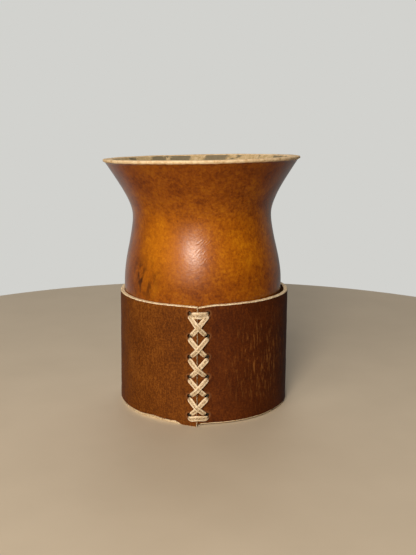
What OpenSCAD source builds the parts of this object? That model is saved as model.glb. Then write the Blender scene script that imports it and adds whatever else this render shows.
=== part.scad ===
// Mate gourd cup: a dried calabash with a flared mouth, standing in a laced leather ring.
// Origin on the table under the middle of the mouth; the ring's seam faces -Y.

/* [Gourd outside] */
// Width across the mouth
mouth_w = 100; // [80:1:125]
// Height of the rim above the table
rim_h = 126.3; // [105:0.1:155]
// Width across the belly
belly_w = 81.8; // [65:0.1:100]
// Height of the widest part of the belly
belly_h = 62; // [50:1:75]
// Width across the waist under the mouth
waist_w = 71.3; // [58:0.1:80]
// Height of the flared mouth, from the waist up to the rim
flare_h = 28.3; // [20:0.1:36]
// Where the flare straightens: small turns out sharply at the waist, 1 curves all the way up
flare_knee = 0.39; // [0.2:0.01:1]
// How late the belly turns in towards the waist: 1 is even, more keeps it full for longer
shoulder_lag = 1.15; // [0.9:0.01:1.6]
// How full the bottom of the bowl is: 2 is round, more is boxier
bowl_power = 2.3; // [2:0.1:4]
// Width of the flat spot that the gourd stands on
foot_w = 24; // [16:1:40]
// Lean of the gourd towards -X, in degrees
lean = 0.5; // [0:0.1:1.2]

/* [Gourd wall] */
// Width of the cut face around the rim
rim_wall = 5; // [3:0.1:7]
// Wall thickness at the belly
belly_wall = 6; // [3:0.1:9]
// Thickness of the gourd under the hollow
foot_wall = 7.5; // [4:0.1:12]
// Height of the upright band where the rim was trimmed
rim_band = 1.8; // [1:0.1:3]
// Rounding of the rim's two edges
rim_round = 0.4; // [0.1:0.1:0.5]

/* [Leather ring] */
// Height of the strip
ring_h = 59.3; // [48:0.1:75]
// Thickness of the leather
leather = 2; // [1.5:0.1:3]
// Mean gap between the belly and the ring
ring_clear = 1.1; // [0.8:0.1:3]
// Gap on the -X side, where the ring sits closest
ring_near = 0.5; // [0.2:0.1:0.7]
// How far round from the seam the strip's left end runs straight, in degrees
left_straight = 19; // [14:1:24]
// How far round from the seam the strip's right end runs straight, in degrees
right_straight = 14; // [12:1:24]
// Gap between the strip's two ends
seam_gap = 0.5; // [0.2:0.1:1]
// How far the right end is lifted off the table at the seam
seam_lift = 1; // [0:0.1:2]
// How far behind the ring's middle the lifted part starts
lift_from = 8; // [0:1:20]
// How much of the right end's top corner is trimmed away at the seam
corner_trim = 1.2; // [0:0.1:2]
// Length of that trim along the top edge
corner_run = 9; // [4:0.5:16]
// Height of the slanting cut on the outer bottom edge at the left front
skive_h = 2.6; // [1:0.1:4]
// Depth of that cut into the leather
skive_in = 1.8; // [0.5:0.1:1.9]
// Where that cut is deepest, in degrees from the seam towards -X
skive_at = 31; // [26:1:60]

/* [Lacing] */
// Rows of holes up the seam
rows = 6; // [4:1:7]
// Distance of the first row below the ring's top edge
top_margin = 3.3; // [2.5:0.1:6]
// Distance of the last row above the ring's bottom edge
bottom_margin = 5.5; // [4.5:0.1:8]
// Spacing of the rows: 1 is even, less closes them up towards the bottom
row_spread = 0.94; // [0.9:0.01:1]
// Distance of the left holes from the seam
left_inset = 3.65; // [3.4:0.05:6]
// Distance of the right holes from the seam
right_inset = 4.9; // [3.4:0.05:6]
// Diameter of the punched holes
hole_d = 2.4; // [2.2:0.1:3.2]
// Diameter of the thong where it is bunched up in a hole
leg_d = 1.4; // [1.1:0.1:1.7]
// Width of the flat thong
thong_w = 2.35; // [1.8:0.05:2.8]
// Thickness of the thong
thong_t = 0.8; // [0.6:0.1:1]
// Width of the bar across the top
top_bar_w = 2.6; // [2:0.1:3]
// Distance of the middle of the top bar below the first row
top_bar_drop = 1.15; // [1:0.05:1.3]
// Distance of the middle of the bottom bar below the last row
bottom_bar_drop = 1.8; // [1.5:0.1:2.1]
// Gap between the thong and the leather
thong_clear = 0.1; // [0.05:0.05:0.2]

/* [Hidden] */
$fn = 48;

belly_r = belly_w / 2;
waist_r = waist_w / 2;
mouth_r = mouth_w / 2;
foot_r = foot_w / 2;
waist_h = rim_h - flare_h;
mouth_shift = rim_h * sin(lean);
belly_x = mouth_shift - ring_h * sin(lean);

ring_in = belly_r + ring_clear;
ring_out = ring_in + leather;
ring_x = belly_x + ring_clear - ring_near;
reach = ring_out * 2;
big = reach * 2;
lift_slope = seam_lift / (ring_out + lift_from);

// Depth of the bowl's curve below the belly, so that z = 0 cuts it at the foot's width
bowl_drop = belly_h / pow(1 - pow(foot_r / belly_r, bowl_power), 1 / bowl_power);
bowl_steps = 26;
shoulder_steps = 20;
flare_steps = 18;
round_steps = 4;
below = 1;

// ---- Gourd ----

// Smooth 0 to 1
function ease(t) = t * t * (3 - 2 * t);

// Radius between belly and waist, and from the waist up the hyperbola to the rim
function shoulder_r(z) =
    belly_r + (waist_r - belly_r) * ease(pow((z - belly_h) / (waist_h - belly_h), shoulder_lag));
function knee(t) = sqrt(1 + pow(t / flare_knee, 2)) - 1;
function flare_r(z) = waist_r + (mouth_r - waist_r) * knee((z - waist_h) / flare_h) / knee(1);
function upper_r(z) = z < waist_h ? shoulder_r(z) : flare_r(z);

// Wall above the belly, measured level
function wall(z) =
    z > waist_h ? rim_wall
    : belly_wall + (rim_wall - belly_wall) * ease((z - belly_h) / (waist_h - belly_h));

// Lower half of a bowl, from its bottom up to the belly: a superellipse r wide and drop deep
function bowl(r, drop, steps) = [
    for (i = [0 : steps])
        let (a = 90 * i / steps)
        [r * pow(sin(a), 2 / bowl_power), belly_h - drop * pow(cos(a), 2 / bowl_power)]
];

// Heights from the belly up to just under the rim band
band_h = rim_h - rim_band;
shoulder_z = [for (i = [1 : shoulder_steps]) belly_h + (waist_h - belly_h) * i / shoulder_steps];
flare_z = [for (i = [1 : flare_steps]) waist_h + (band_h - waist_h) * i / flare_steps];

// Quarter round that ends or starts at the rim's top
function rim_edge(x, side) = [
    for (i = [0 : round_steps])
        let (a = 90 * i / round_steps)
        [x + side * rim_round * (cos(a) - 1), rim_h - rim_round * (1 - sin(a))]
];
function reversed(list) = [for (i = [len(list) - 1 : -1 : 0]) list[i]];

gourd_outline = concat(
    bowl(belly_r, bowl_drop, bowl_steps),
    [for (z = concat(shoulder_z, flare_z)) [upper_r(z), z]],
    rim_edge(mouth_r, 1),
    reversed(rim_edge(mouth_r - rim_wall, -1)),
    [for (z = reversed(concat(shoulder_z, flare_z))) [upper_r(z) - wall(z), z]],
    reversed(bowl(belly_r - belly_wall, belly_h - foot_wall, bowl_steps))
);

module gourd() {
    color("#b5651d")
    difference() {
        translate([mouth_shift, 0, 0])
        rotate([0, -lean, 0])
        rotate_extrude()
        polygon(gourd_outline);
        translate([-big / 2, -big / 2, -big])
        cube(big);
    }
}

// ---- Leather ring ----

// Point on the ring at an angle from the seam, positive towards +X
function ring_point(a, r) = [r * sin(a), -r * cos(a)];

// How far in front of the ring's middle a straight end lies at x
function left_front(x, r) = (r + x * sin(left_straight)) / cos(left_straight);
function right_front(x, r) = (r - x * sin(right_straight)) / cos(right_straight);

// One face of the strip, from the right end round the back to the left end
arc_step = 3;
arc_count = floor((360 - left_straight - right_straight) / arc_step);
function face_line(r) = concat(
    [[seam_gap / 2, -right_front(seam_gap / 2, r)]],
    [
        for (i = [0 : arc_count])
            ring_point(right_straight + (360 - left_straight - right_straight) * i / arc_count, r)
    ],
    [[-seam_gap / 2, -left_front(-seam_gap / 2, r)]]
);

// Height range of the strip: level on the left, rising to the seam on the right
module strip_side() {
    polygon([
        [-reach, (reach + lift_from) * lift_slope],
        [lift_from, 0],
        [reach, 0],
        [reach, ring_h],
        [lift_from, ring_h],
        [-reach, ring_h + (reach + lift_from) * lift_slope]
    ]);
}

module strip() {
    intersection() {
        linear_extrude(height = big)
        polygon(concat(face_line(ring_out), reversed(face_line(ring_in))));
        union() {
            translate([-reach, -reach, 0])
            cube([reach, 2 * reach, ring_h]);
            rotate([90, 0, 90])
            linear_extrude(height = reach)
            strip_side();
        }
    }
}

// Sliver trimmed off the right end's top corner
module corner() {
    top = ring_h + seam_lift;
    rotate([90, 0, 0])
    linear_extrude(height = reach)
    polygon([
        [0, top - corner_trim],
        [corner_run, top],
        [corner_run, top + below],
        [0, top + below]
    ]);
}

// Slanting cut along the bottom edge, deepest at skive_at
module skive() {
    rotate([90, 0, 90 - skive_at])
    translate([0, 0, -ring_out])
    linear_extrude(height = 2 * ring_out)
    polygon([
        [-ring_out + skive_in + below * skive_in / skive_h, -below],
        [-ring_out - skive_in, skive_h * 2],
        [-ring_out - reach, -below]
    ]);
}

// Row heights, closing up towards the bottom
function row_z(i) =
    ring_h - top_margin - (ring_h - top_margin - bottom_margin) * pow(i / (rows - 1), row_spread);

// Puts children on a hole: its middle on the outer face, with +Z pointing out of the leather
module at_hole(side, i, shift = 0) {
    x = side < 0 ? shift - left_inset : right_inset - shift;
    front = side < 0 ? left_front(x, ring_out) : right_front(x, ring_out);
    turn = side < 0 ? -left_straight : right_straight;
    translate([x, -front, row_z(i) - shift])
    rotate([90, 0, turn])
    children();
}

module leather_ring() {
    color("#4a2412")
    translate([ring_x, 0, 0])
    difference() {
        strip();
        corner();
        skive();
        for (i = [0 : rows - 1], side = [-1, 1])
            at_hole(side, i)
            translate([0, 0, -leather - below])
            cylinder(h = leather + 2 * below, d = hole_d);
    }
}

// ---- Lacing ----

// The thong lies on the side of each hole nearest the seam and the row below
leg_shift = ((hole_d - leg_d) / 2 - thong_clear) / sqrt(2);
lace_left = -left_inset - thong_w / 2;
lace_right = right_inset + thong_w / 2;
cross_x = (right_inset - left_inset) / 2;
ridge = max(left_front(0, ring_out), right_front(0, ring_out));
over_lift = thong_t * 0.9;
over_seat = 0.05;
bend = 1.2;
layer_steps = 24;

// Front of the leather under the thong, drawn straight from the ridge to each end
function under_thong(x) =
    lookup(x, [
        [lace_left, left_front(lace_left, ring_out)],
        [0, ridge],
        [lace_right, right_front(lace_right, ring_out)]
    ]) + thong_clear;

// Half the length of a crossing along x, and the hump of the strand that passes over it
row_gap = (row_z(0) - row_z(rows - 1)) / (rows - 1);
cross_half = thong_w / 2 / sin(atan2(row_gap, left_inset + right_inset - thong_w / 2));
function hump(x) =
    let (t = (abs(x - cross_x) - cross_half) / bend)
    t < 0 ? 1 : t > 1 ? 0 : ease(1 - t);

layer_x = [for (i = [0 : layer_steps]) lace_left + (lace_right - lace_left) * i / layer_steps];

// Layer of thong in plan, seated a little further out where it passes over
module layer(over) {
    function face(x) = under_thong(x) + (over ? over_seat + over_lift * hump(x) : 0);
    linear_extrude(height = ring_h + seam_lift)
    polygon(concat(
        [for (x = layer_x) [x, -face(x)]],
        [for (x = reversed(layer_x)) [x, -face(x) - thong_t]]
    ));
}

// Flat strip of a given width between two points, seen from the front
module strap(a, b, w) {
    along = (b - a) / norm(b - a);
    side = [-along.y, along.x] * w / 2;
    polygon([a + side, a - side, b - side, b + side]);
}

// A strand starts under its upper hole and ends beside its lower one
start_in = -0.3;
start_down = 0.6;
end_in = 0.7;
end_down = 0.2;
module strand(i, from_left) {
    left_x = -left_inset + (from_left ? start_in : end_in);
    right_x = right_inset - (from_left ? end_in : start_in);
    top = row_z(i) - start_down;
    bottom = row_z(i + 1) - end_down;
    if (from_left)
        strap([left_x, top], [right_x, bottom], thong_w);
    else
        strap([right_x, top], [left_x, bottom], thong_w);
}

module bars() {
    left_x = -left_inset + leg_shift;
    right_x = right_inset - leg_shift;
    top = row_z(0) - top_bar_drop;
    bottom = row_z(rows - 1) - bottom_bar_drop;
    strap([left_x, top], [right_x, top], top_bar_w);
    strap([lace_left, bottom], [lace_right, bottom], thong_w);
}

// Everything seen from the front in one layer of thong
module front_shape(over) {
    rotate([90, 0, 0])
    linear_extrude(height = big) {
        for (i = [0 : rows - 2])
            strand(i, over == (i % 2 == 0));
        if (!over)
            bars();
    }
}

// Straight strand across the inside of one row
module inside_bar(i) {
    left_x = -left_inset + leg_shift - leg_d / 2;
    right_x = right_inset - leg_shift + leg_d / 2;
    left_y = -left_front(left_x, ring_in) + thong_clear;
    right_y = -right_front(right_x, ring_in) + thong_clear;
    translate([0, 0, row_z(i) - leg_shift - thong_w / 2])
    linear_extrude(height = thong_w)
    polygon([
        [left_x, left_y],
        [right_x, right_y],
        [right_x, right_y + thong_t],
        [left_x, left_y + thong_t]
    ]);
}

module lace() {
    inner_end = leather + thong_clear + thong_t * 0.6;
    outer_end = thong_clear + thong_t * 0.7;
    color("#d9bd8b")
    translate([ring_x, 0, 0])
    union() {
        for (over = [false, true])
            intersection() {
                layer(over);
                front_shape(over);
            }
        for (i = [0 : rows - 1]) {
            inside_bar(i);
            for (side = [-1, 1])
                at_hole(side, i, leg_shift)
                translate([0, 0, -inner_end])
                cylinder(h = inner_end + outer_end, d = leg_d);
        }
    }
}

gourd();
leather_ring();
lace();
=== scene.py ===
import math
import bpy
import numpy as np
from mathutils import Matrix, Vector


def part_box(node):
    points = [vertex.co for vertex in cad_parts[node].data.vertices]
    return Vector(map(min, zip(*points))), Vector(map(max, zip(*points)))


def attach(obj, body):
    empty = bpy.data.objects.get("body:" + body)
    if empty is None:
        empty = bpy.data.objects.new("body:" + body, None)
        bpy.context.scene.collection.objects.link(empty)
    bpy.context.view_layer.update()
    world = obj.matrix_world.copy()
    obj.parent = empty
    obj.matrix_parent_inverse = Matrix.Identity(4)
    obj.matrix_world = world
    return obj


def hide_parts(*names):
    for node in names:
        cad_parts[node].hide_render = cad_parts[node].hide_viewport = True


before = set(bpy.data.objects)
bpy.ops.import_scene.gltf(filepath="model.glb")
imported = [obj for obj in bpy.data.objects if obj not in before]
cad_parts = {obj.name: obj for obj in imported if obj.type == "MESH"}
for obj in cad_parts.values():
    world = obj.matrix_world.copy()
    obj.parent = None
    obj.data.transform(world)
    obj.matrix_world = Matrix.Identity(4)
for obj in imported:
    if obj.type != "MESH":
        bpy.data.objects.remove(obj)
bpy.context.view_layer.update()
mm = 0.001


# The small tools that every piece and material shares

def hexColour(code):
    # sRGB hex to the linear red, green, blue and alpha of a socket
    channels = [int(code[i:i + 2], 16) / 255 for i in (0, 2, 4)]
    return [c / 12.92 if c <= 0.04045 else ((c + 0.055) / 1.055) ** 2.4 for c in channels] + [1]


def addNode(tree, kind, settings=(), links=()):
    # A setting is a socket's value, with a colour as hex, or else one of the node's own properties
    node = tree.nodes.new("ShaderNode" + kind)
    for name, value in dict(settings).items():
        if name == "stops":
            elements = node.color_ramp.elements
            while len(elements) < len(value):
                elements.new(0.5)
            for element, (position, code) in zip(elements, value):
                element.position = position
                element.color = hexColour(code)
        elif isinstance(name, int) or name in node.inputs:
            node.inputs[name].default_value = hexColour(value) if isinstance(value, str) else value
        else:
            setattr(node, name, value)
    for name, socket in dict(links).items():
        tree.links.new(socket, node.inputs[name])
    return node


def newMaterial(name, settings):
    material = bpy.data.materials.new(name)
    material.use_nodes = True
    tree = material.node_tree
    tree.nodes.clear()
    shader = addNode(tree, "BsdfPrincipled", settings)
    addNode(tree, "OutputMaterial", links={"Surface": shader.outputs[0]})
    return material, tree, shader


def perMetre(size):
    # Scale of a pattern whose features are size millimetres across
    return 1 / (size * mm)


def ease(t):
    # 0 to 1 with a level start and end: t squared times (3 - 2t)
    t = np.clip(t, 0, 1)
    return t * t * (3 - 2 * t)


def softNoise(points, size, seed):
    # Mean of 24 sine waves about size long in seeded directions, scaled to about -1 to 1
    rng = np.random.default_rng(seed)
    directions = rng.normal(size=(24, 3))
    directions /= np.linalg.norm(directions, axis=1)[:, None]
    waves = directions * rng.uniform(0.6, 1.5, (24, 1)) * 2 * math.pi / size
    return np.sin(points @ waves.T + rng.uniform(0, 2 * math.pi, 24)).mean(-1) * 3


def gridFaces(rows, columns, wrapRows=False, wrapColumns=False):
    # Quads between neighbouring rows and columns of a grid, row by row
    i = np.arange(rows if wrapRows else rows - 1)[:, None]
    j = np.arange(columns if wrapColumns else columns - 1)[None, :]
    here, nextRow = i * columns, (i + 1) % rows * columns
    nextColumn = (j + 1) % columns
    return np.stack([here + j, here + nextColumn, nextRow + nextColumn, nextRow + j], -1).reshape(-1, 4)


def makePiece(name, points, faceSets, attributes=()):
    # points in millimetres; faceSets are index arrays, one for each number of corners
    corners = np.concatenate([f.ravel() for f in faceSets]).astype(np.int32)
    sizes = np.concatenate([np.full(len(f), f.shape[1]) for f in faceSets])
    starts = np.concatenate([[0], np.cumsum(sizes)[:-1]]).astype(np.int32)
    mesh = bpy.data.meshes.new(name)
    mesh.vertices.add(len(points))
    mesh.vertices.foreach_set("co", (points * mm).astype(np.float32).ravel())
    mesh.loops.add(len(corners))
    mesh.loops.foreach_set("vertex_index", corners)
    mesh.polygons.add(len(sizes))
    mesh.polygons.foreach_set("loop_start", starts)
    mesh.update(calc_edges=True)
    mesh.validate()
    mesh.shade_smooth()
    for key, values in dict(attributes).items():
        data = mesh.attributes.new(key, "FLOAT", "POINT").data
        data.foreach_set("value", values.astype(np.float32).ravel())
    piece = bpy.data.objects.new(name, mesh)
    bpy.context.scene.collection.objects.link(piece)
    return piece


def evenly(outline, spacing):
    # The same polyline with its points about spacing apart along it
    steps = np.linalg.norm(np.diff(outline, axis=0), axis=1)
    run = np.concatenate([[0], np.cumsum(steps)])
    at = np.linspace(0, run[-1], max(2, round(run[-1] / spacing) + 1))
    return np.stack([np.interp(at, run, outline[:, k]) for k in range(outline.shape[1])], 1)


# Camera, light and floor

studio = {
    "cameraPlace": (28.73, -380.61, 143.6),
    "cameraTurn": 3.8,  # degrees left of straight back
    "cameraTip": 11.76,  # degrees down
    "lens": 48.0,
    "target": (0, 0, 75),
    "floorRadius": 290,
    "floorColours": ("c8bba6", "cdc0ab"),
    "floorCloudSize": 40,
    "wallColour": "dcdcd8",
    "wallSeen": 0.9,  # brightness behind the object
    "wallGlow": (0.07, 0.6),  # light from the room, in front and behind
    # name: degrees right of the front, degrees up, distance, width, watts, colour, seen in gloss
    "lights": {
        "softWindow": (-34, 28, 1200, 500, 3.2, "fff4e6", False),
        "roundLamp": (-9, 24, 900, 300, 7.2, "fff1e0", True),
        "backFill": (178, 48, 1300, 900, 4.0, "fff8f0", False),
    },
}


def makeStudio():
    scene = bpy.context.scene
    cameraData = bpy.data.cameras.new("camera")
    cameraData.lens = studio["lens"]
    cameraData.clip_start = 0.01
    camera = bpy.data.objects.new("camera", cameraData)
    turn, tip = math.radians(studio["cameraTurn"]), math.radians(studio["cameraTip"])
    look = Vector((-math.sin(turn) * math.cos(tip), math.cos(turn) * math.cos(tip), -math.sin(tip)))
    camera.location = Vector(studio["cameraPlace"]) * mm
    camera.rotation_euler = look.to_track_quat("-Z", "Y").to_euler()
    scene.collection.objects.link(camera)
    scene.camera = camera
    scene.view_settings.view_transform = "Standard"

    for name, (right, up, distance, width, watts, colour, gloss) in studio["lights"].items():
        data = bpy.data.lights.new(name, "AREA")
        data.shape = "DISK"
        data.size = width * mm
        data.energy = watts
        data.color = hexColour(colour)[:3]
        lamp = bpy.data.objects.new(name, data)
        lamp.visible_glossy = gloss
        right, up = math.radians(right), math.radians(up)
        away = Vector((math.sin(right) * math.cos(up), -math.cos(right) * math.cos(up), math.sin(up)))
        lamp.location = (Vector(studio["target"]) + away * distance) * mm
        lamp.rotation_euler = (-away).to_track_quat("-Z", "Y").to_euler()
        scene.collection.objects.link(lamp)

    # Pale room, brightest behind the object, where a wall would be, and dimmer on the right
    world = bpy.data.worlds.new("paleRoom")
    world.use_nodes = True
    scene.world = world
    tree = world.node_tree
    tree.nodes.clear()
    direction = addNode(tree, "SeparateXYZ", links={0: addNode(tree, "TexCoord").outputs["Generated"]})
    inFront, atBack = studio["wallGlow"]
    behind = addNode(tree, "MapRange", {"interpolation_type": "SMOOTHSTEP", 1: 0.2, 2: 0.85,
                                        3: inFront, 4: atBack}, {0: direction.outputs["Y"]})
    right = addNode(tree, "MapRange", {"interpolation_type": "SMOOTHSTEP", 1: -0.3, 2: 0.6, 3: 1.05, 4: 0.5},
                    {0: direction.outputs["X"]})
    glow = addNode(tree, "Math", {"operation": "MULTIPLY"}, {0: behind.outputs[0], 1: right.outputs[0]})
    seen = addNode(tree, "Mix", {3: studio["wallSeen"]},
                   {0: addNode(tree, "LightPath").outputs["Is Camera Ray"], 2: glow.outputs[0]})
    sky = addNode(tree, "Background", {"Color": studio["wallColour"]},
                  {"Strength": seen.outputs[0]})
    addNode(tree, "OutputWorld", links={"Surface": sky.outputs[0]})

    # Round table top, a hair under everything that stands on it
    turn = np.arange(180) * 2 * math.pi / 180
    circle = np.stack([np.cos(turn), np.sin(turn), 0 * turn], 1) * studio["floorRadius"] - [0, 0, 0.05]
    floor = makePiece("floor", circle, [np.arange(180)[None]])
    # Matt painted board: an even pale tan with soft clouds
    paint, tree, shader = newMaterial("mattPaintedBoard", {"Roughness": 0.6})
    cloudy = addNode(tree, "TexNoise", {"Scale": perMetre(studio["floorCloudSize"]), "Detail": 3},
                     {"Vector": addNode(tree, "TexCoord").outputs["Object"]})
    darker, lighter = studio["floorColours"]
    tan = addNode(tree, "ValToRGB", {"stops": [(0.3, darker), (0.7, lighter)]}, {0: cloudy.outputs[0]})
    tree.links.new(tan.outputs[0], shader.inputs["Base Color"])
    floor.data.materials.append(paint)
    floor.visible_glossy = False
    print("studio ready")


makeStudio()


# Gourd: a dried calabash, cut at the mouth, varnished outside and left raw inside

gourdLow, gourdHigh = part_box("gourd")
gourd = {
    # Lengths in millimetres
    "lean": 0.5,  # degrees towards -X
    "mouthRadius": (gourdHigh.y - gourdLow.y) / 2 / mm,
    "bellyRadius": 40.9,
    "bellyHeight": 62,
    "waistRadius": 35.65,
    "flareHeight": 28.3,
    "flareKnee": 0.39,
    "shoulderLag": 1.15,
    "bowlPower": 2.3,
    "footRadius": 12,
    "rimWall": 5,
    "bellyWall": 6,
    "footWall": 7.5,
    "rimBand": 1.55,  # bare upright band left by the cut
    "rimFront": 1.15,  # the cut runs this much higher at the front and at the right
    "rimRight": 0.45,
    "rimRound": 0.4,
    "scarRadius": 3.2,  # blossom end in the middle of the foot
    "scarDepth": 0.5,
    "columns": 330,
    "spacing": 1.25,
    "lump": 0.22,  # height and length of the natural unevenness, and the share of the small lumps
    "lumpSize": 46,
    "smallLumpSize": 15,
    "smallLumpShare": 0.35,
    "rimWander": 0.1,
    "varnishWander": 0.12,
}


def gourdOutline(g, rimHeight):
    # Three stretches of (radius, height): varnished skin, cut rim, raw inside, from the foot's middle
    # up the outside, over the rim and down to the middle of the hollow.
    # Bowls are superellipses, the shoulder an eased curve and the flare a hyperbola.
    waistHeight = rimHeight - g["flareHeight"]
    bandHeight = rimHeight - g["rimBand"]
    power, bellyHeight = g["bowlPower"], g["bellyHeight"]

    def bowl(radius, drop, angle):
        return np.stack([radius * np.sin(angle) ** (2 / power),
                         bellyHeight - drop * np.cos(angle).clip(0) ** (2 / power)], 1)

    def knee(t):
        return np.sqrt(1 + (t / g["flareKnee"]) ** 2) - 1

    def upper(z):
        late = np.clip((z - bellyHeight) / (waistHeight - bellyHeight), 0, 1) ** g["shoulderLag"]
        shoulder = g["bellyRadius"] + (g["waistRadius"] - g["bellyRadius"]) * ease(late)
        t = np.clip(z - waistHeight, 0, None) / g["flareHeight"]
        flare = g["waistRadius"] + (g["mouthRadius"] - g["waistRadius"]) * knee(t) / knee(1)
        return np.where(z < waistHeight, shoulder, flare)

    footShare = (g["footRadius"] / g["bellyRadius"]) ** power
    drop = bellyHeight / (1 - footShare) ** (1 / power)
    footAngle = math.acos((bellyHeight / drop) ** (power / 2))
    r = np.linspace(0.3, g["footRadius"] - 0.2, 30)
    scar = g["scarDepth"] * (1 - ease(r / g["scarRadius"]))
    foot = np.stack([r, scar], 1)
    z = np.linspace(bellyHeight, bandHeight, 160)[1:]
    skin = np.concatenate([foot, bowl(g["bellyRadius"], drop, np.linspace(footAngle, math.pi / 2, 120)),
                           np.stack([upper(z), z], 1)])
    turn = np.linspace(0, math.pi / 2, 6)
    edge, mouth, inner = g["rimRound"], g["mouthRadius"], g["mouthRadius"] - g["rimWall"]
    outerEdge = np.stack([mouth - edge + edge * np.cos(turn), rimHeight - edge + edge * np.sin(turn)], 1)
    innerEdge = np.stack([inner + edge - edge * np.sin(turn), rimHeight - edge + edge * np.cos(turn)], 1)
    rim = np.concatenate([[[mouth, bandHeight]], outerEdge, innerEdge])
    thinning = ease((z - bellyHeight) / (waistHeight - bellyHeight))
    wall = g["bellyWall"] + (g["rimWall"] - g["bellyWall"]) * thinning
    hollow = bowl(g["bellyRadius"] - g["bellyWall"], bellyHeight - g["footWall"],
                  np.linspace(math.pi / 2, 0.01, 120))
    inside = np.concatenate([innerEdge[-1:], np.stack([upper(z) - wall, z], 1)[::-1], hollow])
    return evenly(skin, g["spacing"]), evenly(rim, 0.5), evenly(inside, g["spacing"] * 1.6)


def makeGourd(g):
    lean = math.radians(g["lean"])
    rimHeight = (gourdHigh.z / mm - g["mouthRadius"] * math.sin(lean)) / math.cos(lean)
    skin, rim, inside = gourdOutline(g, rimHeight)
    outline = np.concatenate([skin, rim[1:], inside[1:]])
    around = np.arange(g["columns"]) * 2 * math.pi / g["columns"]
    radius, height = outline[:, :1], outline[:, 1:] + 0 * around
    points = np.stack([radius * np.cos(around), radius * np.sin(around), height], -1)
    # Natural lumps push the wall in and out, less towards the foot and the hollow's middle
    lump = g["lump"] * (softNoise(points, g["lumpSize"], 3)
                        + g["smallLumpShare"] * softNoise(points, g["smallLumpSize"], 4))
    swell = lump * ease(radius / 30) * ease(height / 12)
    points[..., 0] += swell * np.cos(around)
    points[..., 1] += swell * np.sin(around)
    # The saw left the rim a little uneven, and the varnish stops along a line that wanders
    nearRim = ease(1 - np.abs(height - rimHeight) / 4)
    points[..., 2] += nearRim * g["rimWander"] * softNoise(points * [1, 1, 0], 30, 5)
    nearBand = ease(1 - np.abs(height - rimHeight + g["rimBand"]) / 0.9) * (radius > g["mouthRadius"] - 2)
    points[..., 2] += nearBand * g["varnishWander"] * softNoise(points * [1, 1, 0], 7, 6)
    flared = ease((height - rimHeight + g["flareHeight"]) / g["flareHeight"])
    points[..., 2] += flared * (g["rimFront"] * (1 - points[..., 1] / g["mouthRadius"]) / 2
                                + g["rimRight"] * points[..., 0] / g["mouthRadius"])
    # Lean about the middle of the foot, whose bottom stays flat on the table
    x, z = points[..., 0], points[..., 2]
    points = np.stack([x * math.cos(lean) - z * math.sin(lean) + rimHeight * math.sin(lean), points[..., 1],
                       x * math.sin(lean) + z * math.cos(lean)], -1)
    points[..., 2] = points[..., 2].clip(0)

    rows, columns = points.shape[:2]
    poles = np.stack([points[0].mean(0), points[-1].mean(0)])
    j = np.arange(columns)
    footFan = np.stack([j + 0 * j, 0 * j + rows * columns, (j + 1) % columns], 1)
    last = (rows - 1) * columns
    hollowFan = np.stack([last + j, last + (j + 1) % columns, 0 * j + rows * columns + 1], 1)
    piece = makePiece("gourdBody", np.concatenate([points.reshape(-1, 3), poles]),
                      [gridFaces(rows, columns, wrapColumns=True), footFan, hollowFan])
    # Material slots: 0 skin, 1 cut rim, 2 raw inside
    rowSlot = np.zeros(rows - 1, int)
    rowSlot[len(skin) - 1:] = 1
    rowSlot[len(skin) + len(rim) - 2:] = 2
    slots = np.concatenate([np.repeat(rowSlot, columns), 0 * j, 0 * j + 2])
    for material in (varnishedCalabash(), sawnCalabash(), rawCalabash()):
        piece.data.materials.append(material)
    piece.data.polygons.foreach_set("material_index", slots.astype(np.int32))
    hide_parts("gourd")
    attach(piece, "root")
    print("gourd ready,", rows, "by", columns)


skinLook = {
    "dark": "7e3c02", "middle": "a75c02", "light": "c27806",
    "cloudSize": 9, "fleckSize": 1.4,
    "speckColour": "6e3204", "speckSize": 1.1,
    "darkeningColour": "d1c3a0",
    "paintedShadeNeck": (80, 122),  # where the painted shade starts and is full: up the neck, where the flare faces down,
    "paintedShadeByRing": (84, 66),  # painted shade down by the ring,
    "darkerLeft": (-19, -31),  # and darker towards -X
    "brightColour": "cd7f0c", "brightPlace": (-17, -33, 82), "brightReach": 32,
    "stainColour": "4a2203", "stainPlace": (-27, -30, 69), "stainReach": 16, "stainSize": 3.6,
    # painted sheen: a pinker haze round the highlight on the belly
    "paintedSheenColour": "a85a26", "paintedSheenPlace": (-3, -38, 82), "paintedSheenReach": 18,
    "peelSize": 1.3, "peelHeight": 0.12,
    "scratchSpacing": 1.25, "scratchHeight": 0.03, "scratchSlant": 50,
    "scratchPlace": (5, -37, 86), "scratchReach": 14,
}


def near(tree, place, spot, reach):
    # 1 at the spot, falling smoothly to 0 at reach millimetres
    distance = addNode(tree, "VectorMath", {"operation": "DISTANCE", 1: [c * mm for c in spot]}, {0: place})
    return addNode(tree, "MapRange", {"interpolation_type": "SMOOTHSTEP", 1: 0, 2: reach * mm, 3: 1, 4: 0},
                   {0: distance.outputs["Value"]}).outputs[0]


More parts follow.
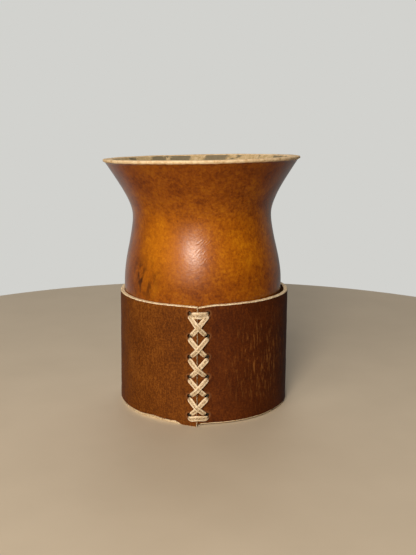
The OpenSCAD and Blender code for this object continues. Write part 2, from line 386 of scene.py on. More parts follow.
def varnishedCalabash():
    # Dried gourd skin, rubbed and varnished: cloudy orange-brown mottling under a satin gloss
    look = skinLook
    material, tree, shader = newMaterial("varnishedCalabash", {
        "IOR": 1.2, "Coat Weight": 0.9, "Coat Roughness": 0.29, "Coat IOR": 1.5})
    place = addNode(tree, "TexCoord").outputs["Object"]
    clouds = addNode(tree, "TexNoise", {"Scale": perMetre(look["cloudSize"]), "Detail": 5, "Roughness": 0.6,
                                        "Distortion": 0.5}, {"Vector": place})
    flecks = addNode(tree, "TexNoise", {"Scale": perMetre(look["fleckSize"]), "Detail": 4, "Roughness": 0.65,
                                        "Distortion": 0.4}, {"Vector": place})
    blend = addNode(tree, "Mix", {0: 0.55}, {2: clouds.outputs[0], 3: flecks.outputs[0]})
    base = addNode(tree, "ValToRGB", {"stops": [(0.36, look["dark"]), (0.5, look["middle"]),
                                                (0.64, look["light"])]}, {0: blend.outputs[0]})
    bright = addNode(tree, "Math", {"operation": "MULTIPLY", 1: 0.33},
                     {0: near(tree, place, look["brightPlace"], look["brightReach"])})
    base = addNode(tree, "Mix", {"data_type": "RGBA", 7: look["brightColour"]},
                   {0: bright.outputs[0], 6: base.outputs[0]})
    # Painted shade towards the mouth, where the flare faces down, and down by the ring; also darker round the
    # left side
    axes = addNode(tree, "SeparateXYZ", links={0: place})
    shades = []
    for axis, key, full in (("Z", "paintedShadeNeck", 1), ("X", "darkerLeft", 1), ("Z", "paintedShadeByRing", 0.75)):
        start, end = look[key]
        shade = addNode(tree, "MapRange", {"interpolation_type": "SMOOTHSTEP", 1: start * mm, 2: end * mm,
                                           3: 0, 4: full}, {0: axes.outputs[axis]})
        shades.append(shade.outputs[0])
    # thick: the strongest of the three darkenings, two of them painted shade
    thick = addNode(tree, "Math", {"operation": "MAXIMUM"}, {0: shades[0], 1: shades[1]})
    thick = addNode(tree, "Math", {"operation": "MAXIMUM"}, {0: thick.outputs[0], 1: shades[2]})
    base = addNode(tree, "Mix", {"data_type": "RGBA", "blend_type": "MULTIPLY", 7: look["darkeningColour"]},
                   {0: thick.outputs[0], 6: base.outputs[2]})
    # Small dark specks scattered over it
    speckled = addNode(tree, "TexNoise", {"Scale": perMetre(look["speckSize"]), "Detail": 2},
                       {"Vector": place})
    specks = addNode(tree, "MapRange", {1: 0.6, 2: 0.75, 3: 0, 4: 0.55}, {0: speckled.outputs[0]})
    # A brown stain low on the left, broken up by upright strokes
    strokes = addNode(tree, "Mapping", {"Scale": (1, 1, 0.45)}, {0: place})
    patches = addNode(tree, "TexNoise", {"Scale": perMetre(look["stainSize"]), "Detail": 3},
                      {"Vector": strokes.outputs[0]})
    patchy = addNode(tree, "MapRange", {1: 0.46, 2: 0.6}, {0: patches.outputs[0]})
    stain = addNode(tree, "Math", {"operation": "MULTIPLY"},
                    {0: patchy.outputs[0], 1: near(tree, place, look["stainPlace"], look["stainReach"])})
    # Painted sheen: a pinker haze round the highlight on the belly
    paintedSheen = addNode(tree, "Math", {"operation": "MULTIPLY", 1: 0.4},
                    {0: near(tree, place, look["paintedSheenPlace"], look["paintedSheenReach"])})
    for key, amount in (("speckColour", specks), ("stainColour", stain), ("paintedSheenColour", paintedSheen)):
        base = addNode(tree, "Mix", {"data_type": "RGBA", 7: look[key]},
                       {0: amount.outputs[0], 6: base.outputs[2]})
    tree.links.new(base.outputs[2], shader.inputs["Base Color"])
    rough = addNode(tree, "MapRange", {1: 0.3, 2: 0.7, 3: 0.42, 4: 0.56}, {0: flecks.outputs[0]})
    tree.links.new(rough.outputs[0], shader.inputs["Roughness"])
    # Varnish that dried with a fine peel, and broken slanting rub marks on the shoulder
    peel = addNode(tree, "TexNoise", {"Scale": perMetre(look["peelSize"]), "Detail": 4}, {"Vector": place})
    slant = addNode(tree, "Mapping", {"Rotation": (0, math.radians(look["scratchSlant"]), 0)}, {0: place})
    # A wave texture repeats every 0.314 / scale
    marks = addNode(tree, "TexWave", {"Scale": 0.314 * perMetre(look["scratchSpacing"]), "Distortion": 4,
                                      "Detail": 3, "Detail Scale": 1.2, "bands_direction": "Z"},
                    {"Vector": slant.outputs[0]})
    breaks = addNode(tree, "TexNoise", {"Scale": perMetre(3), "Detail": 2}, {"Vector": slant.outputs[0]})
    breaks = addNode(tree, "MapRange", {1: 0.44, 2: 0.6}, {0: breaks.outputs[0]})
    rubbed = near(tree, place, look["scratchPlace"], look["scratchReach"])
    marked = addNode(tree, "Math", {"operation": "MULTIPLY"}, {0: breaks.outputs[0], 1: rubbed})
    marked = addNode(tree, "Math", {"operation": "MULTIPLY"}, {0: marks.outputs["Fac"], 1: marked.outputs[0]})
    peelBump = addNode(tree, "Bump", {"Strength": 0.5, "Distance": look["peelHeight"] * mm},
                       {"Height": peel.outputs[0]})
    bump = addNode(tree, "Bump", {"Strength": 1, "Distance": look["scratchHeight"] * mm},
                   {"Height": marked.outputs[0], "Normal": peelBump.outputs[0]})
    tree.links.new(bump.outputs[0], shader.inputs["Normal"])
    tree.links.new(bump.outputs[0], shader.inputs["Coat Normal"])
    return material


shellLook = {
    "cutColours": [(0.3, "c29d6c"), (0.45, "e0c297"), (0.62, "f0d9b2")], "poreSize": 2,
    "insideColours": [(0.35, "a89168"), (0.5, "c4ad84"), (0.66, "d6c4a4")], "fibreWidth": 1.6,
    "blotchColour": "6f6856", "blotchSize": 9,
    # place and reach of the three big blotches under the rim
    "blotches": (((-28.7, 33.8, 124.5), 12), ((-14.3, 41.9, 124.5), 7.5), ((9.5, 43.3, 124.5), 12)),
}


def sawnCalabash():
    # Shell cut across with a fine saw: dry cream flesh with small buff pores
    material, tree, shader = newMaterial("sawnCalabash", {"Roughness": 0.72, "IOR": 1.45})
    place = addNode(tree, "TexCoord").outputs["Object"]
    grain = addNode(tree, "TexNoise", {"Scale": perMetre(shellLook["poreSize"]), "Detail": 4,
                                       "Roughness": 0.6}, {"Vector": place})
    colour = addNode(tree, "ValToRGB", {"stops": shellLook["cutColours"]}, {0: grain.outputs[0]})
    bump = addNode(tree, "Bump", {"Strength": 0.2, "Distance": 0.1 * mm}, {"Height": grain.outputs[0]})
    tree.links.new(colour.outputs[0], shader.inputs["Base Color"])
    tree.links.new(bump.outputs[0], shader.inputs["Normal"])
    return material


def rawCalabash():
    # Scraped inner wall, never varnished: dull buff fibres with grey blotches left by the dried pulp
    material, tree, shader = newMaterial("rawCalabash", {"Roughness": 0.88, "IOR": 1.4})
    place = addNode(tree, "TexCoord").outputs["Object"]
    upright = addNode(tree, "Mapping", {"Scale": (1, 1, 0.35)}, {0: place})
    fibres = addNode(tree, "TexNoise", {"Scale": perMetre(shellLook["fibreWidth"]), "Detail": 5,
                                        "Roughness": 0.7}, {"Vector": upright.outputs[0]})
    buff = addNode(tree, "ValToRGB", {"stops": shellLook["insideColours"]}, {0: fibres.outputs[0]})
    blotch = addNode(tree, "TexNoise", {"Scale": perMetre(shellLook["blotchSize"]), "Detail": 4,
                                        "Roughness": 0.6, "Distortion": 0.6}, {"Vector": upright.outputs[0]})
    amount = blotch.outputs[0]
    for spot, reach in shellLook["blotches"]:
        more = addNode(tree, "Math", {"operation": "MULTIPLY_ADD", 1: 0.22},
                       {0: near(tree, place, spot, reach), 2: amount})
        amount = more.outputs[0]
    grey = addNode(tree, "MapRange", {1: 0.56, 2: 0.62, 3: 0, 4: 0.85}, {0: amount})
    colour = addNode(tree, "Mix", {"data_type": "RGBA", 7: shellLook["blotchColour"]},
                     {0: grey.outputs[0], 6: buff.outputs[0]})
    bump = addNode(tree, "Bump", {"Strength": 0.6, "Distance": 0.3 * mm}, {"Height": fibres.outputs[0]})
    tree.links.new(colour.outputs[2], shader.inputs["Base Color"])
    tree.links.new(bump.outputs[0], shader.inputs["Normal"])
    return material


makeGourd(gourd)


# Leather ring: one strip bent round, its two straight ends meeting at the front

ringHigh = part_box("leather_ring")[1]
ring = {
    "axis": 1.185,  # the ring's middle lies this far towards +X
    "outer": ringHigh.y / mm,
    "leather": 2,
    "height": 59.3,
    "leftStraight": 19,
    "rightStraight": 14,
    "seamAt": 0.15,  # where the two ends meet, and the hair gap between them
    "seamGap": 0.03,
    "seamLift": 0.7,  # right end off the table at the seam, and how far behind the middle that starts
    "liftFrom": 8,
    "cornerTrim": 0.9,  # depth and length of the trim on the right end's top
    "cornerRun": 9,
    "leftRise": 0.35,
    "skiveHeight": 2.4,  # slanting cut at the foot of the seam, this many degrees left of the front
    "skiveDepth": 1.5,
    "skiveAngle": 31,
    "bevelHeight": 0.5,  # pale bevel along the outer top edge
    "bevelDepth": 0.5,
    "pareHeight": 1.9,  # pale bevel along the bottom edge, shallower on the right of the seam
    "pareDepth": 0.9,
    "pareRight": 0.5,
    "pareEnd": 95,  # degrees round from the front, and how many it takes to fade out
    "pareFade": 30,
    "edgeRound": 0.3,
    "sway": 0.25,  # top towards +X and inwards, bottom the other way
    "edgeWander": 0.1,  # wavering of the cuts, the thickness and the top edge
    "thickWaver": 0.05,
    "topWave": 0.1,
    "topRipple": 0.07,
    "lipHeight": 0.14,
    "lipWidth": 0.38,
    "rowSpacing": 0.6,
    "columnSpacing": 1.5,
    "endSpacing": 0.4,  # finer columns along the punched ends
}
lacing = {
    "rows": 6,
    "topMargin": 3.3,
    "bottomMargin": 5.5,
    "rowSpread": 0.94,
    "leftInset": 3.65,
    "rightInset": 4.9,
    "hole": 2.4,
}


def rowHeights(r, l):
    # Rows close up slightly towards the bottom
    span = r["height"] - l["topMargin"] - l["bottomMargin"]
    return r["height"] - l["topMargin"] - span * (np.arange(l["rows"]) / (l["rows"] - 1)) ** l["rowSpread"]


def flapFront(x, radius, side):
    # How far in front of the ring's middle a straight end lies at x: side -1 is the left end, 1 the right
    angle = math.radians(ring["leftStraight"] if side < 0 else ring["rightStraight"])
    return (radius - side * x * math.sin(angle)) / math.cos(angle)


def settle(points):
    # The ring's slight sway and taper, for the strip and the thong alike
    up = (points[..., 2] / ring["height"] * 2 - 1).clip(-1.1, 1.1) * ring["sway"]
    out = points[..., :2] / np.linalg.norm(points[..., :2], axis=-1, keepdims=True)
    moved = points.copy()
    moved[..., 0] += up - out[..., 0] * up + ring["axis"]
    moved[..., 1] -= out[..., 1] * up
    return moved


def stripSection(r):
    # (depth below the outer face, height) from under the strip's middle, up the outer face, over the
    # bevelled top and down the inner face; the second half mirrors the first point for point
    thick, height = r["leather"], r["height"]
    turn = np.linspace(0, math.pi / 2, 6)
    rows = round(height / r["rowSpacing"])

    def half(bottom, topDepth, topHeight):
        low = np.stack([bottom - bottom * np.sin(turn), bottom - bottom * np.cos(turn)], 1)
        face = np.concatenate([np.linspace(bottom + 0.15, 3.5, 12),
                               np.linspace(3.5, height - topHeight - 0.15, rows)[1:]])
        face = np.stack([0 * face, face], 1)
        high = np.stack([topDepth - topDepth * np.cos(turn),
                         height - topHeight + topHeight * np.sin(turn)], 1)
        return np.concatenate([[[thick * 0.4, 0]], low, face, high, [[thick * 0.45, height]]])

    outer = half(r["edgeRound"], r["bevelDepth"], r["bevelHeight"])
    inner = half(r["edgeRound"], r["edgeRound"], r["edgeRound"])
    inner[:, 0] = thick - inner[:, 0]
    return np.concatenate([outer, inner[::-1]]), len(outer)


def stripColumns(r):
    # Plan of the outer face, the way its depth runs, and 1 on the right half of the ring: a straight
    # line at each end, tangent to a circle round the rest, from the right end by the back to the left
    left, right = math.radians(r["leftStraight"]), math.radians(r["rightStraight"])
    radius, half = r["outer"], r["seamGap"] / 2

    def straight(side, x, angle):
        share = np.linspace(0, 1, round(radius * math.tan(abs(angle)) / r["endSpacing"]))[:, None]
        tangent = np.array([math.sin(angle), -math.cos(angle)])
        front = np.array([x, -flapFront(x, radius, side)])
        way = np.array([0, -1 / math.cos(angle)])
        return front + (tangent * radius - front) * share, way + (tangent - way) * share

    steps = round(radius * (2 * math.pi - left - right) / r["columnSpacing"])
    angle = np.linspace(right, 2 * math.pi - left, steps)[1:-1]
    arc = np.stack([np.sin(angle), -np.cos(angle)], 1)
    rightPlan, rightWay = straight(1, r["seamAt"] + half, right)
    leftPlan, leftWay = straight(-1, r["seamAt"] - half, -left)
    rightHalf = np.concatenate([np.ones(len(rightPlan)), angle < math.pi, np.zeros(len(leftPlan))])
    return (np.concatenate([rightPlan, arc * radius, leftPlan[::-1]]),
            np.concatenate([rightWay, arc, leftWay[::-1]]), rightHalf)


def holePlaces(r, l):
    # Middle of each hole on the outer face and the way out of it, left and right of each row
    heights = rowHeights(r, l)
    places, ways = [], []
    for side, x, turn in ((-1, -l["leftInset"], -r["leftStraight"]),
                          (1, l["rightInset"], r["rightStraight"])):
        turn = math.radians(turn)
        front = flapFront(x, r["outer"], side)
        places.append(np.stack([0 * heights + x, 0 * heights - front, heights], 1))
        ways.append(np.array([[math.sin(turn), -math.cos(turn), 0]] * len(heights)))
    return np.concatenate(places), np.concatenate(ways)


def makeRing(r, l):
    section, outerCount = stripSection(r)
    plan, way, rightHalf = stripColumns(r)
    depth, height = section[:, :1], section[:, 1:]
    x, y = plan[:, 0], plan[:, 1]
    # The slanting cut: how far the outer face is pared back, at each height, to a tilted plane
    skive = math.radians(-r["skiveAngle"])
    facing = np.array([math.sin(skive), -math.cos(skive)])
    reach = r["outer"] - r["skiveDepth"] * (1 - height / r["skiveHeight"])
    towards = (way @ facing).clip(0.3)
    wander = r["edgeWander"] * softNoise(np.stack([x, y, 0 * x], 1), 9, 11)
    pared = (plan @ facing - reach - wander * (height < r["skiveHeight"])) / towards
    pared = np.where(way @ facing > 0.5, pared, 0).clip(0, r["skiveDepth"])
    # A shallower bevel runs further along the bottom edge on both sides of the seam
    turned = np.degrees(np.arctan2(x, -y))
    shareLeft = ease((-turned - 7) / 8) * ease((turned + r["pareEnd"]) / r["pareFade"])
    shareRight = ease(turned / 3) * ease((r["pareEnd"] - turned) / r["pareFade"]) * r["pareRight"]
    share = np.maximum(shareLeft, shareRight)
    bevel = r["pareDepth"] * share - height * r["pareDepth"] / r["pareHeight"] + 0.3 * wander * share
    pared = np.hypot(pared, bevel.clip(0)).clip(0, r["skiveDepth"])
    # The outer face wavers a little
    flat = np.stack([x + 0 * height, y + 0 * height, height + 0 * x], -1)
    waver = r["thickWaver"] * softNoise(flat, 13, 12) * (depth < 0.9)
    inwards = pared + depth * (r["leather"] - pared) / r["leather"] - waver
    # Height: a trimmed corner at the right end, a raised one at the left end, a slightly wavy top
    trim = np.where((rightHalf > 0) & (y < 0), r["cornerTrim"] * (1 - x / r["cornerRun"]).clip(0),
                    -r["leftRise"] * np.exp(-(x / 9) ** 2) * (y < 0))
    wavy = (r["topWave"] * softNoise(np.stack([x, y, 0 * x], 1), 22, 13)
            + r["topRipple"] * softNoise(np.stack([x, y, 0 * x], 1), 3, 14))
    upperHalf = ease(height / r["height"] * 2 - 1)
    tall = height * (1 - trim / r["height"] * upperHalf)
    tall = tall + wavy * ease(height / 8 - 6.2)
    lift = rightHalf * r["seamLift"] * ease((r["liftFrom"] - y) / 36)
    points = np.stack([x - way[:, 0] * inwards, y - way[:, 1] * inwards, tall + lift], -1)
    # Punching raised a low lip round each hole
    holes, ways = holePlaces(r, l)
    lips = np.zeros(points.shape[:2])
    for place in holes:
        away = np.linalg.norm(points - place, axis=-1)
        lips += np.exp(-((away - l["hole"] * 0.62) / r["lipWidth"]) ** 2) * (depth < 0.1)
    points[..., 0] += way[:, 0] * lips * r["lipHeight"]
    points[..., 1] += way[:, 1] * lips * r["lipHeight"]
    # How bare each point is of dye: the cut edges fully, the inside too, the bevels as they deepen
    raw = (depth > 0.02) | (height > r["height"] - 0.1) | (height < 0.02)
    raw = np.maximum(raw + 0 * x, ease(pared / 0.3))
    flesh = (depth > r["leather"] - 0.01) + 0 * x
    # The two ends' cut faces are rubbed half brown but for their top and bottom corners
    ends = np.zeros(points.shape[:2])
    ends[:, [0, -1]] = 0.3 + 0.7 * np.maximum(ease(height / 2 - 27.7), ease(1.3 - height / 3))
    # Both ends' outer edges are painted pale along the seam: partly the real pale cut edge, partly painted
    # light over the dark shading line there
    raw[:, [0, -1]] = 0.62
    run = np.cumsum(np.concatenate([[0], np.hypot(np.diff(x), np.diff(y))]))
    points = settle(points)

    rows, columns = points.shape[:2]
    k = np.arange(outerCount - 1)
    pairs = np.stack([k, k + 1, rows - 2 - k, rows - 1 - k], 1) * columns
    piece = makePiece("leatherRing", points.reshape(-1, 3),
                      [gridFaces(rows, columns, wrapRows=True), pairs, pairs[:, ::-1] + columns - 1],
                      {"raw": np.maximum(raw, ends), "flesh": flesh, "lip": lips,
                       "along": run / run[-1] + 0 * height})
    punchHoles(piece, holes, ways, r, l)
    piece.data.materials.append(tannedLeather())
    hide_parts("leather_ring")
    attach(piece, "root")
    print("ring ready,", rows, "by", columns)


def punchHoles(piece, holes, ways, r, l):
    # Round punches through the leather along each flap's normal
    turn = np.arange(28) * 2 * math.pi / 28
    points, faces, caps = [], [], []
    for index, (place, out) in enumerate(zip(settle(holes), ways)):
        side = np.array([-out[1], out[0], 0])
        circle = (np.cos(turn)[:, None] * side + np.sin(turn)[:, None] * [0, 0, 1]) * l["hole"] / 2
        start = index * 56
        points += [circle + place - out * (r["leather"] + 1.5), circle + place + out * 1.5]
        faces.append(gridFaces(2, 28, wrapColumns=True) + start)
        caps += [np.arange(28)[None, ::-1] + start, np.arange(28)[None, :] + start + 28]
    punch = makePiece("punch", np.concatenate(points), faces + caps)
    cut = piece.modifiers.new("punched", "BOOLEAN")
    cut.object = punch
    cut.operation = "DIFFERENCE"
    cut.solver = "EXACT"
    ready = piece.evaluated_get(bpy.context.evaluated_depsgraph_get())
    mesh = bpy.data.meshes.new_from_object(ready)
    piece.modifiers.clear()
    piece.data = mesh
    bpy.data.objects.remove(punch)


leatherLook = {
    "dyedColours": [(0.36, "431f03"), (0.5, "683607"), (0.64, "8c5318")],
    "coreColours": [(0.34, "b8946a"), (0.46, "dfc8a2"), (0.62, "f3e6c8")],
    "fleshColours": [(0.36, "6e4a2a"), (0.64, "a07a4c")],
    # darkening along the strip, from its right end to its left; its first millimetres at the right end, by
    # the seam, stay light as painted light bounced off the lace
    "alongColours": [(0.004, "ffffff"), (0.022, "c9b2a6"), (0.13, "bda399"), (0.45, "e0d5cf"),
                     (0.85, "ffffff")],
    "streakWidth": 0.8, "fleckSize": 0.85, "cloudSize": 16,
    "scuffColour": "a0662c", "scuffWidth": 1.1, "scuffPlace": (34, -30, 30), "scuffReach": 33,
    "lipColour": "b98a5e",
}


def tannedLeather():
    # Vegetable-tanned cowhide, dyed dark brown: fine upright fibre streaks, worn paler in places;
    # the cut edges show the undyed cream core and the inside the rough tan flesh side
    look = leatherLook
    material, tree, shader = newMaterial("tannedLeather", {"IOR": 1.25})
    place = addNode(tree, "TexCoord").outputs["Object"]
    upright = addNode(tree, "Mapping", {"Scale": (1, 1, 0.25)}, {0: place})
    scuffed = addNode(tree, "Mapping", {"Scale": (1, 1, 0.2)}, {0: place})
    noises = []
    for key, detail, roughness, where in (
            ("streakWidth", 5, 0.7, upright.outputs[0]), ("cloudSize", 4, 0.6, place),
            ("fleckSize", 4, 0.7, place), ("scuffWidth", 4, 0.6, scuffed.outputs[0])):
        noises.append(addNode(tree, "TexNoise", {"Scale": perMetre(look[key]), "Detail": detail,
                                                 "Roughness": roughness}, {"Vector": where}))
    streaks, clouds, flecks, scuffs = noises
    blend = addNode(tree, "Mix", {0: 0.4}, {2: streaks.outputs[0], 3: clouds.outputs[0]})
    blend = addNode(tree, "Mix", {0: 0.45}, {2: blend.outputs[0], 3: flecks.outputs[0]})
    dyed = addNode(tree, "ValToRGB", {"stops": look["dyedColours"]}, {0: blend.outputs[0]})
    # Upright scuffs worn down to the tan on the right
    scuffs = addNode(tree, "MapRange", {1: 0.53, 2: 0.68, 3: 0, 4: 0.7}, {0: scuffs.outputs[0]})
    worn = addNode(tree, "Math", {"operation": "MULTIPLY"},
                   {0: scuffs.outputs[0], 1: near(tree, place, look["scuffPlace"], look["scuffReach"])})
    # Darker towards the strip's right end, but for painted light bounced off the lace in its first
    # millimetres by the seam
    along = addNode(tree, "Attribute", {"attribute_name": "along"}).outputs["Fac"]
    alongDarkening = addNode(tree, "ValToRGB", {"stops": look["alongColours"]}, {0: along})
    dyed = addNode(tree, "Mix", {"data_type": "RGBA", "blend_type": "MULTIPLY", 0: 1.0},
                   {6: dyed.outputs[0], 7: alongDarkening.outputs[0]})
    dyed = addNode(tree, "Mix", {"data_type": "RGBA", 7: look["scuffColour"]},
                   {0: worn.outputs[0], 6: dyed.outputs[2]})
    lip = addNode(tree, "Attribute", {"attribute_name": "lip"}).outputs["Fac"]
    rubbed = addNode(tree, "Math", {"operation": "MULTIPLY", 1: 0.2}, {0: lip})
    dyed = addNode(tree, "Mix", {"data_type": "RGBA", 7: look["lipColour"]},
                   {0: rubbed.outputs[0], 6: dyed.outputs[2]})
    core = addNode(tree, "ValToRGB", {"stops": look["coreColours"]}, {0: flecks.outputs[0]})
    fuzz = addNode(tree, "ValToRGB", {"stops": look["fleshColours"]}, {0: flecks.outputs[0]})
    rawness = addNode(tree, "Attribute", {"attribute_name": "raw"}).outputs["Fac"]
    fleshy = addNode(tree, "Attribute", {"attribute_name": "flesh"}).outputs["Fac"]
    crumble = addNode(tree, "MapRange", {1: 0.3, 2: 0.7, 3: -0.25, 4: 0.25}, {0: flecks.outputs[0]})
    border = addNode(tree, "Math", {"operation": "ADD"}, {0: rawness, 1: crumble.outputs[0]})
    border = addNode(tree, "MapRange", {1: 0.4, 2: 0.6}, {0: border.outputs[0]})
    edged = addNode(tree, "Mix", {"data_type": "RGBA"},
                    {0: border.outputs[0], 6: dyed.outputs[2], 7: core.outputs[0]})
    colour = addNode(tree, "Mix", {"data_type": "RGBA"},
                     {0: fleshy, 6: edged.outputs[2], 7: fuzz.outputs[0]})
    rough = addNode(tree, "MapRange", {1: 0.3, 2: 0.7, 3: 0.6, 4: 0.8}, {0: streaks.outputs[0]})
    bump = addNode(tree, "Bump", {"Strength": 0.35, "Distance": 0.2 * mm}, {"Height": blend.outputs[0]})
    tree.links.new(colour.outputs[2], shader.inputs["Base Color"])
    tree.links.new(rough.outputs[0], shader.inputs["Roughness"])
    tree.links.new(bump.outputs[0], shader.inputs["Normal"])
    return material


makeRing(ring, lacing)


# Lace: one flat rawhide thong, laced in crosses with a bar at the top and at the bottom

thong = {
    "width": 2.35,
    "thick": 0.8,
    "topBarWidth": 3.3,
    "topBarDrop": 0.5,  # below the middles of the holes
    "bottomBarWidth": 2.6,
    "bottomBarDrop": 0.95,
    "clear": 0.1,  # air between thong and leather
    "startIn": -0.15,  # where a strand leaves its upper hole, towards the seam and down
    "startDown": 0.9,
    "endIn": 0.85,  # where it ends beside its lower hole
    "endDown": -0.6,
    "holeWidth": 1.2,  # bunched up in the holes
    "holeThick": 0.95,
    "overLift": 0.82,  # hump where one strand passes over the other
    "insideWidth": 0.85,  # shares of the width and thickness on the inside
    "insideThick": 0.8,
    "unevenness": 0.05,
    "samples": 8,  # sections from key to key, and points round each
    "around": 16,
}


def thongFront(x):
    # Leather or air under the thong, drawn tight from the ridge at the seam to each hole
    left, right = -lacing["leftInset"] - thong["width"] / 2, lacing["rightInset"] + thong["width"] / 2
    outer = ring["outer"]
    return np.interp(x, [left, 0, right],
                     [flapFront(left, outer, -1), flapFront(0, outer, -1), flapFront(right, outer, 1)])


def holeX(side):
    return -lacing["leftInset"] if side < 0 else lacing["rightInset"]


def frontRun(route, widths, sunk, lifted=0):
    # Keys along (x, z) points drawn on the front: place, across, width, thickness and how much painted shade
    # and soil; sunk is
    # how far each lies below the tight thong's place, and lifted how far above
    route = np.array(route)
    run = np.gradient(route, axis=0)
    run /= np.linalg.norm(run, axis=1)[:, None]
    sunk = np.array(sunk)
    front = thongFront(route[:, 0]) + thong["clear"] + thong["thick"] / 2 + lifted - sunk
    return [(np.array([x, -y, z]), np.array([-c, 0, a]), width, thong["thick"], soiled)
            for (x, z), y, (a, c), width, soiled in zip(route, front, run, widths, ease(sunk - 0.25))]


def strandRun(start, end, raised):
    # One crossing: out of a hole, straight down the front with a hump if it passes over the other
    # strand, and down beside the next hole
    start, end = np.array(start), np.array(end)
    length = np.linalg.norm(end - start)
    run = (end - start) / length
    way = np.array([0.1, 0.45, 1.1, length * 0.37, length * 0.5, length * 0.63, length - 1.5, length - 0.75,
                    length - 0.3, length])
    route = start + run * way[:, None]
    crossing = (lacing["rightInset"] - lacing["leftInset"]) / 2
    lifted = thong["overLift"] * ease(1.75 - np.abs(route[:, 0] - crossing) / 1.7) * raised
    widths = np.array([0.55, 0.85, 1, 1, 1, 1, 1, 0.95, 0.8, 0.55]) * thong["width"]
    return frontRun(route, widths, [1.25, 0.35, 0, 0, 0, 0, 0, 0.1, 0.5, 1.25], lifted)


def insideRun(fromX, toX, height, layer):
    # Keys of one strand across the inside of a row, straight from hole to hole
    inner = ring["outer"] - ring["leather"]
    keys = []
    for x in np.linspace(fromX, toX, 3):
        front = flapFront(x, inner, -1 if x < 0 else 1) - thong["clear"]
        front -= thong["thick"] * (0.5 + 0.2 * layer)
        # The last value, 0.4, is some painted shade and soil on the inside
        keys.append((np.array([x, -front, height]), np.array([0, 0, 1.0]),
                     thong["width"] * thong["insideWidth"], thong["thick"] * thong["insideThick"], 0.4))
    return keys


def holeKey(side, height, inwards, down):
    # The thong bunched up against one wall of a hole, towards the seam and down from its middle
    turn = math.radians(-ring["leftStraight"] if side < 0 else ring["rightStraight"])
    x = holeX(side) - side * inwards
    out = np.array([math.sin(turn), -math.cos(turn), 0])
    place = np.array([x, -flapFront(x, ring["outer"], side), height - down]) - out * 1.6
    # The last value, 1, is full painted shade and soil in the hole
    return place, np.array([0.3, 0, 1.0]), thong["holeWidth"], thong["holeThick"], 1


def laceRoute():
    # From the tail inside the last row, up one family of crosses, across the top bar and down the other
    heights = rowHeights(ring, lacing)
    last = len(heights) - 1

    def down(side):
        # Every strand of one family from the top, with the inside bar after each
        keys = []
        for i in range(last):
            start = (holeX(side) - side * thong["startIn"], heights[i] - thong["startDown"])
            end = (holeX(-side) + side * thong["endIn"], heights[i + 1] - thong["endDown"])
            keys += [holeKey(side, heights[i], 0.2, 0.75)]
            keys += strandRun(start, end, (side < 0) == (i % 2 == 0))
            keys += [holeKey(-side, heights[i + 1], 0.55, -0.5)]
            keys += insideRun(holeX(-side), holeX(side), heights[i + 1] - 0.6, side > 0)
        return keys

    # Bars between the holes of the first and the last row, their ends curling up into the holes
    left, right = holeX(-1), holeX(1)
    top, bottom = heights[0] - thong["topBarDrop"], heights[last] - thong["bottomBarDrop"]
    topBar = frontRun([(right - 0.05, top + 0.45), (right - 0.5, top + 0.3), (right - 1.4, top),
                       (right - 2.8, top - 0.15), (0.5, top), (left + 2, top - 0.1), (left + 1.3, top - 0.1),
                       (left + 0.6, top + 0.25)],
                      np.array([0.4, 0.6, 0.85, 1, 1, 1, 0.95, 0.4]) * thong["topBarWidth"],
                      [1.1, 0.3, 0, 0, 0, 0, 0.1, 1.1])
    bottomBar = frontRun([(right + 0.35, bottom - 0.1), (right - 0.1, bottom - 0.4),
                          (right - 1.3, bottom - 0.5), (0.5, bottom), (left + 1.3, bottom - 0.5),
                          (left + 0.2, bottom - 0.4), (left - 0.3, bottom - 0.1)],
                         np.array([0.55, 0.8, 1, 1, 1, 0.8, 0.55]) * thong["bottomBarWidth"],
                         [1.1, 0.2, 0, 0, 0, 0.2, 1.1])
    first, second = down(-1), down(1)
    keys = first[::-1]
    keys += insideRun(left, right, heights[0] - 0.4, 0) + [holeKey(1, heights[0], 0.3, 0.3)] + topBar
    keys += [holeKey(-1, heights[0], 0.6, 0.3)] + insideRun(left, right, heights[0] - 0.6, 1) + second
    keys += [holeKey(1, heights[last], 0, 0.6)] + bottomBar + [holeKey(-1, heights[last], 0, 0.6)]
    keys += insideRun(left, right * 0.5, heights[last] - 0.6, 1)
    return keys


def throughKeys(values, samples):
    # Catmull-Rom curve through the rows of values
    padded = np.concatenate([values[:1] * 2 - values[1:2], values, values[-1:] * 2 - values[-2:-1]])
    a, b, c, d = padded[:-3, None], padded[1:-2, None], padded[2:-1, None], padded[3:, None]
    t = np.linspace(0, 1, samples, endpoint=False)[None, :, None]
    curve = 0.5 * (2 * b + (c - a) * t + (2 * a - 5 * b + 4 * c - d) * t ** 2
                   + (3 * b - a - 3 * c + d) * t ** 3)
    return np.concatenate([curve.reshape(-1, values.shape[1]), values[-1:]])


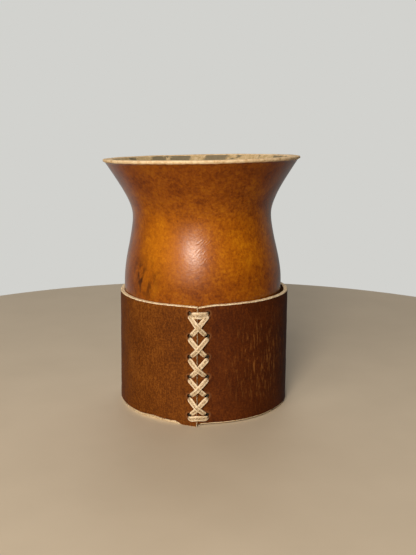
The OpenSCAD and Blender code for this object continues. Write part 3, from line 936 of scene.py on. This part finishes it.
def makeLace():
    route = laceRoute()
    places = np.stack([k[0] for k in route])
    across = np.stack([k[1] for k in route])
    sizes = np.array([k[2:] for k in route])
    # The thong doesn't twist over: each key's side vector keeps the half-turn nearest the one before
    signs = np.ones(len(across))
    for i in range(1, len(across)):
        signs[i] = signs[i - 1] * (1 if across[i] @ across[i - 1] >= 0 else -1)
    across = across * signs[:, None]
    curve = throughKeys(np.concatenate([places, across, sizes], 1), thong["samples"])
    places, across, width, thick, soiled = np.split(curve, [3, 6, 7, 8], axis=1)
    along = np.gradient(places, axis=0)
    along /= np.linalg.norm(along, axis=1)[:, None]
    across -= along * (across * along).sum(1)[:, None]
    across /= np.linalg.norm(across, axis=1)[:, None]
    face = np.cross(along, across)
    # Section: a superellipse, a little uneven in width along the thong
    run = np.concatenate([[0], np.cumsum(np.linalg.norm(np.diff(places, axis=0), axis=1))])
    uneven = 1 + thong["unevenness"] * softNoise(np.stack([run, 0 * run, 0 * run], 1), 5, 21)[:, None]
    turn = np.arange(thong["around"]) * 2 * math.pi / thong["around"]
    sideways = np.sign(np.cos(turn)) * np.abs(np.cos(turn)) ** 0.7
    upwards = np.sign(np.sin(turn)) * np.abs(np.sin(turn)) ** 0.7
    points = (places[:, None] + across[:, None] * (sideways * width * uneven / 2)[..., None]
              + face[:, None] * (upwards * thick / 2)[..., None])
    points = settle(points)
    rows, columns = points.shape[:2]
    loop = np.arange(columns)
    piece = makePiece("rawhideLace", points.reshape(-1, 3),
                      [gridFaces(rows, columns, wrapColumns=True), loop[None, ::-1],
                       loop[None] + (rows - 1) * columns],
                      {"side": sideways + 0 * run[:, None], "run": run[:, None] + 0 * sideways,
                       "soiled": soiled + 0 * sideways})
    piece.data.materials.append(rawhide())
    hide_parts("lace")
    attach(piece, "root")
    print("lace ready,", rows, "sections")


rawhideLook = {
    "creamColours": [(0.35, "dabf95"), (0.65, "f4e3c6")], "fleckSize": 0.8,
    # the nearly black colour is painted shade, with some real soil, where the thong goes into the holes
    "fibreColour": "785932", "soilAndShadeColour": "1c120a",
}


def rawhide():
    # Scraped rawhide thong: translucent cream at its cut edges, olive-brown fibres left down its middle
    material, tree, shader = newMaterial("scrapedRawhide", {"Roughness": 0.6, "IOR": 1.5})
    place = addNode(tree, "TexCoord").outputs["Object"]
    side = addNode(tree, "Attribute", {"attribute_name": "side"}).outputs["Fac"]
    run = addNode(tree, "Attribute", {"attribute_name": "run"}).outputs["Fac"]
    lengthwise = addNode(tree, "CombineXYZ", links={0: run, 1: side})
    fibres = addNode(tree, "Mapping", {"Scale": (0.9, 2.2, 1)}, {0: lengthwise.outputs[0]})
    dashes = addNode(tree, "TexNoise", {"Scale": 1.2, "Detail": 4, "Roughness": 0.7},
                     {"Vector": fibres.outputs[0]})
    middle = addNode(tree, "Math", {"operation": "ABSOLUTE"}, {0: side})
    middle = addNode(tree, "MapRange", {"interpolation_type": "SMOOTHSTEP", 1: 0.2, 2: 0.72, 3: 1, 4: 0},
                     {0: middle.outputs[0]})
    worn = addNode(tree, "MapRange", {1: 0.38, 2: 0.6}, {0: dashes.outputs[0]})
    shade = addNode(tree, "Math", {"operation": "MULTIPLY"}, {0: middle.outputs[0], 1: worn.outputs[0]})
    flecks = addNode(tree, "TexNoise", {"Scale": perMetre(rawhideLook["fleckSize"]), "Detail": 3},
                     {"Vector": place})
    cream = addNode(tree, "ValToRGB", {"stops": rawhideLook["creamColours"]}, {0: flecks.outputs[0]})
    colour = addNode(tree, "Mix", {"data_type": "RGBA", 7: rawhideLook["fibreColour"]},
                     {0: shade.outputs[0], 6: cream.outputs[0]})
    # Nearly black where it sinks into the holes: painted shade, with some real soiling from rubbing there
    soiled = addNode(tree, "Attribute", {"attribute_name": "soiled"}).outputs["Fac"]
    colour = addNode(tree, "Mix", {"data_type": "RGBA", 7: rawhideLook["soilAndShadeColour"]},
                     {0: soiled, 6: colour.outputs[2]})
    bump = addNode(tree, "Bump", {"Strength": 0.4, "Distance": 0.1 * mm}, {"Height": dashes.outputs[0]})
    tree.links.new(colour.outputs[2], shader.inputs["Base Color"])
    tree.links.new(bump.outputs[0], shader.inputs["Normal"])
    return material


makeLace()
